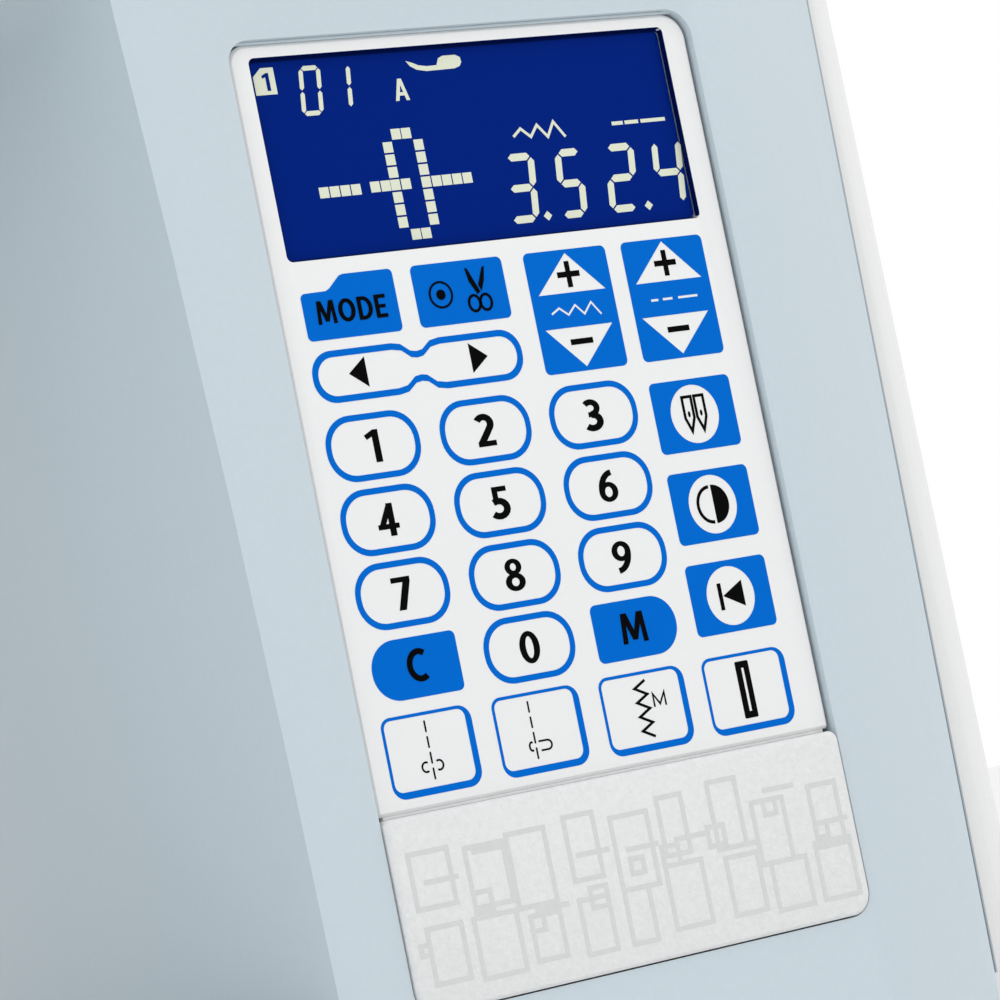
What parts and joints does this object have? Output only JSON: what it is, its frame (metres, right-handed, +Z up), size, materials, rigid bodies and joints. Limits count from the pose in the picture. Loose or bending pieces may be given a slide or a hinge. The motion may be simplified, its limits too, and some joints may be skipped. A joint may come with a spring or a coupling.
{
  "type": "sewing machine",
  "caption": "Free-arm electronic sewing machine with a keypad and display on its column, slide-off extension table, hinged top lid, folding handle and handwheel.",
  "frame": {"origin": "middle of the footprint, on the surface that the machine stands on", "axes": "+X to the operator's right, +Y away from the operator, +Z up"},
  "size_m": [0.4, 0.176, 0.3077],
  "materials": {
    "white_plastic": "satin",
    "blue_grey_plastic": "satin",
    "soft_white_plastic": "matte",
    "dark_plastic": "matte",
    "grey_plastic": "matte",
    "rubber": "matte",
    "display_glass": "gloss",
    "clear_plastic": "gloss",
    "circuit_board": "matte",
    "steel": "brushed",
    "chrome": "polished",
    "casting": "cast"
  },
  "bodies": {
    "body": {"base_pan": "white_plastic", "free_arm_cover": "white_plastic", "front_cover": "blue_grey_plastic", "rear_cover": "white_plastic", "side_cover": "white_plastic", "face_cover": "white_plastic", "top_tray": "soft_white_plastic", "control_panel": "white_plastic", "trim_plate": "soft_white_plastic", "lcd_module": "display_glass", "keypad_board": "circuit_board", "control_board": "circuit_board", "main_frame": "casting", "drive_motor": "grey_plastic", "drive_belt": "rubber", "timing_belt": "rubber", "needle_plate": "steel", "needle_lamp": "clear_plastic", "power_inlet": "dark_plastic", "pedal_jack": "dark_plastic", "bobbin_case": "dark_plastic", "spool_pin": "soft_white_plastic", "rubber_foot_1": "rubber", "rubber_foot_2": "rubber", "rubber_foot_3": "rubber", "rubber_foot_4": "rubber"},
    "arm_drive": {"arm_shaft": "steel", "arm_pulley": "grey_plastic", "needle_crank": "steel", "handwheel": "white_plastic"},
    "lower_drive": {"lower_shaft": "steel", "lower_pulley": "grey_plastic"},
    "motor_drive": {"motor_pulley": "steel"},
    "hook": {"rotary_hook": "chrome"},
    "bobbin_reel": {"bobbin": "clear_plastic"},
    "needle_carrier": {"needle_bar": "chrome", "needle_clamp": "steel", "clamp_screw": "steel", "needle": "chrome"},
    "take_up": {"take_up_lever": "chrome"},
    "presser": {"presser_bar": "chrome", "foot_holder": "steel"},
    "foot": {"presser_foot": "chrome"},
    "foot_lifter": {"presser_lever": "dark_plastic"},
    "tension": {"tension_dial": "soft_white_plastic"},
    "speed": {"speed_slider": "soft_white_plastic"},
    "start": {"start_button": "soft_white_plastic"},
    "reverse": {"reverse_button": "soft_white_plastic"},
    "needle_stop": {"needle_button": "soft_white_plastic"},
    "lock": {"lock_button": "soft_white_plastic"},
    "cutter": {"cutter_button": "soft_white_plastic"},
    "hook_cover": {"bobbin_cover": "clear_plastic"},
    "cover_catch": {"cover_release": "dark_plastic"},
    "feed": {"feed_dog": "steel"},
    "power": {"power_switch": "dark_plastic"},
    "lid": {"top_lid": "white_plastic"},
    "handle": {"carry_handle": "white_plastic"},
    "winder_arm": {"winder_carrier": "grey_plastic"},
    "winder": {"winder_spindle": "soft_white_plastic"},
    "table": {"extension_table": "white_plastic"}
  },
  "joints": [
    {"name": "shaft_turn", "type": "hinge", "parent": "body", "child": "arm_drive", "pos_m": [0.05, 0, 0.245], "axis": [1, 0, 0], "continuous": true},
    {"name": "lower_turn", "type": "hinge", "parent": "body", "child": "lower_drive", "pos_m": [0.02, -0.007, 0.047], "axis": [1, 0, 0], "continuous": true},
    {"name": "motor_turn", "type": "hinge", "parent": "body", "child": "motor_drive", "pos_m": [0.133, -0.022, 0.12], "axis": [1, 0, 0], "continuous": true},
    {"name": "hook_turn", "type": "hinge", "parent": "body", "child": "hook", "pos_m": [-0.098, -0.02, 0.06], "axis": [0, 0, 1], "continuous": true},
    {"name": "bobbin_turn", "type": "hinge", "parent": "body", "child": "bobbin_reel", "pos_m": [-0.098, -0.02, 0.067], "axis": [0, 0, 1], "continuous": true},
    {"name": "needle_stroke", "type": "slide", "parent": "body", "child": "needle_carrier", "axis": [0, 0, 1], "range_m": [-0.031, 0]},
    {"name": "take_up_swing", "type": "hinge", "parent": "body", "child": "take_up", "pos_m": [-0.104, -0.018, 0.241], "axis": [1, 0, 0], "range_deg": [0, 40]},
    {"name": "lifter_swing", "type": "hinge", "parent": "body", "child": "foot_lifter", "pos_m": [-0.084, 0.025, 0.142], "axis": [0, -1, 0], "range_deg": [0, 45]},
    {"name": "presser_lift", "type": "slide", "parent": "body", "child": "presser", "axis": [0, 0, 1], "range_m": [0, 0.006]},
    {"name": "foot_tilt", "type": "hinge", "parent": "presser", "child": "foot", "pos_m": [-0.098, 0.005, 0.092], "axis": [1, 0, 0], "range_deg": [-3, 2]},
    {"name": "tension_turn", "type": "hinge", "parent": "body", "child": "tension", "pos_m": [-0.061, -0.056, 0.245], "axis": [1, 0, 0], "range_deg": [-150, 150]},
    {"name": "speed_slide", "type": "slide", "parent": "body", "child": "speed", "axis": [1, 0, 0], "range_m": [0, 0.028]},
    {"name": "start_press", "type": "slide", "parent": "body", "child": "start", "axis": [0, 1, 0], "range_m": [0, 0.0012], "stiffness_N_per_m": 400},
    {"name": "reverse_press", "type": "slide", "parent": "body", "child": "reverse", "axis": [0, 1, 0], "range_m": [0, 0.0012], "stiffness_N_per_m": 400},
    {"name": "needle_stop_press", "type": "slide", "parent": "body", "child": "needle_stop", "axis": [0, 1, 0], "range_m": [0, 0.0012], "stiffness_N_per_m": 400},
    {"name": "lock_press", "type": "slide", "parent": "body", "child": "lock", "axis": [0, 1, 0], "range_m": [0, 0.0012], "stiffness_N_per_m": 400},
    {"name": "cutter_press", "type": "slide", "parent": "body", "child": "cutter", "axis": [0, 1, 0], "range_m": [0, 0.0012], "stiffness_N_per_m": 400},
    {"name": "hook_cover_lift", "type": "slide", "parent": "body", "child": "hook_cover", "axis": [0, 0, 1], "range_m": [0, 0.001]},
    {"name": "cover_catch_slide", "type": "slide", "parent": "body", "child": "cover_catch", "axis": [1, 0, 0], "range_m": [0, 0.002], "stiffness_N_per_m": 200},
    {"name": "feed_stroke", "type": "slide", "parent": "body", "child": "feed", "axis": [0, 1, 0], "range_m": [-0.0017, 0.0017]},
    {"name": "power_rock", "type": "hinge", "parent": "body", "child": "power", "pos_m": [0.1794, 0.035, 0.101], "axis": [0, -1, 0], "range_deg": [0, 14]},
    {"name": "lid_swing", "type": "hinge", "parent": "body", "child": "lid", "pos_m": [0.01, 0.027, 0.298], "axis": [-1, 0, 0], "range_deg": [0, 88]},
    {"name": "handle_swing", "type": "hinge", "parent": "body", "child": "handle", "pos_m": [0.02, 0.042, 0.301], "axis": [1, 0, 0], "range_deg": [0, 90]},
    {"name": "winder_shift", "type": "slide", "parent": "body", "child": "winder_arm", "axis": [1, 0, 0], "range_m": [0, 0.006]},
    {"name": "winder_turn", "type": "hinge", "parent": "winder_arm", "child": "winder", "pos_m": [0.134, -0.0385, 0.28], "axis": [0, 0, 1], "continuous": true},
    {"name": "table_slide", "type": "slide", "parent": "body", "child": "table", "axis": [-1, 0, 0], "range_m": [0, 0.25]}
  ],
  "couplings": [
    {"joint": "lower_turn", "follows": "shaft_turn", "ratio": 1},
    {"joint": "motor_turn", "follows": "shaft_turn", "ratio": 3.4286},
    {"joint": "hook_turn", "follows": "shaft_turn", "ratio": 2},
    {"joint": "lifter_swing", "follows": "presser_lift", "rad_per_m": 130.9}
  ]
}
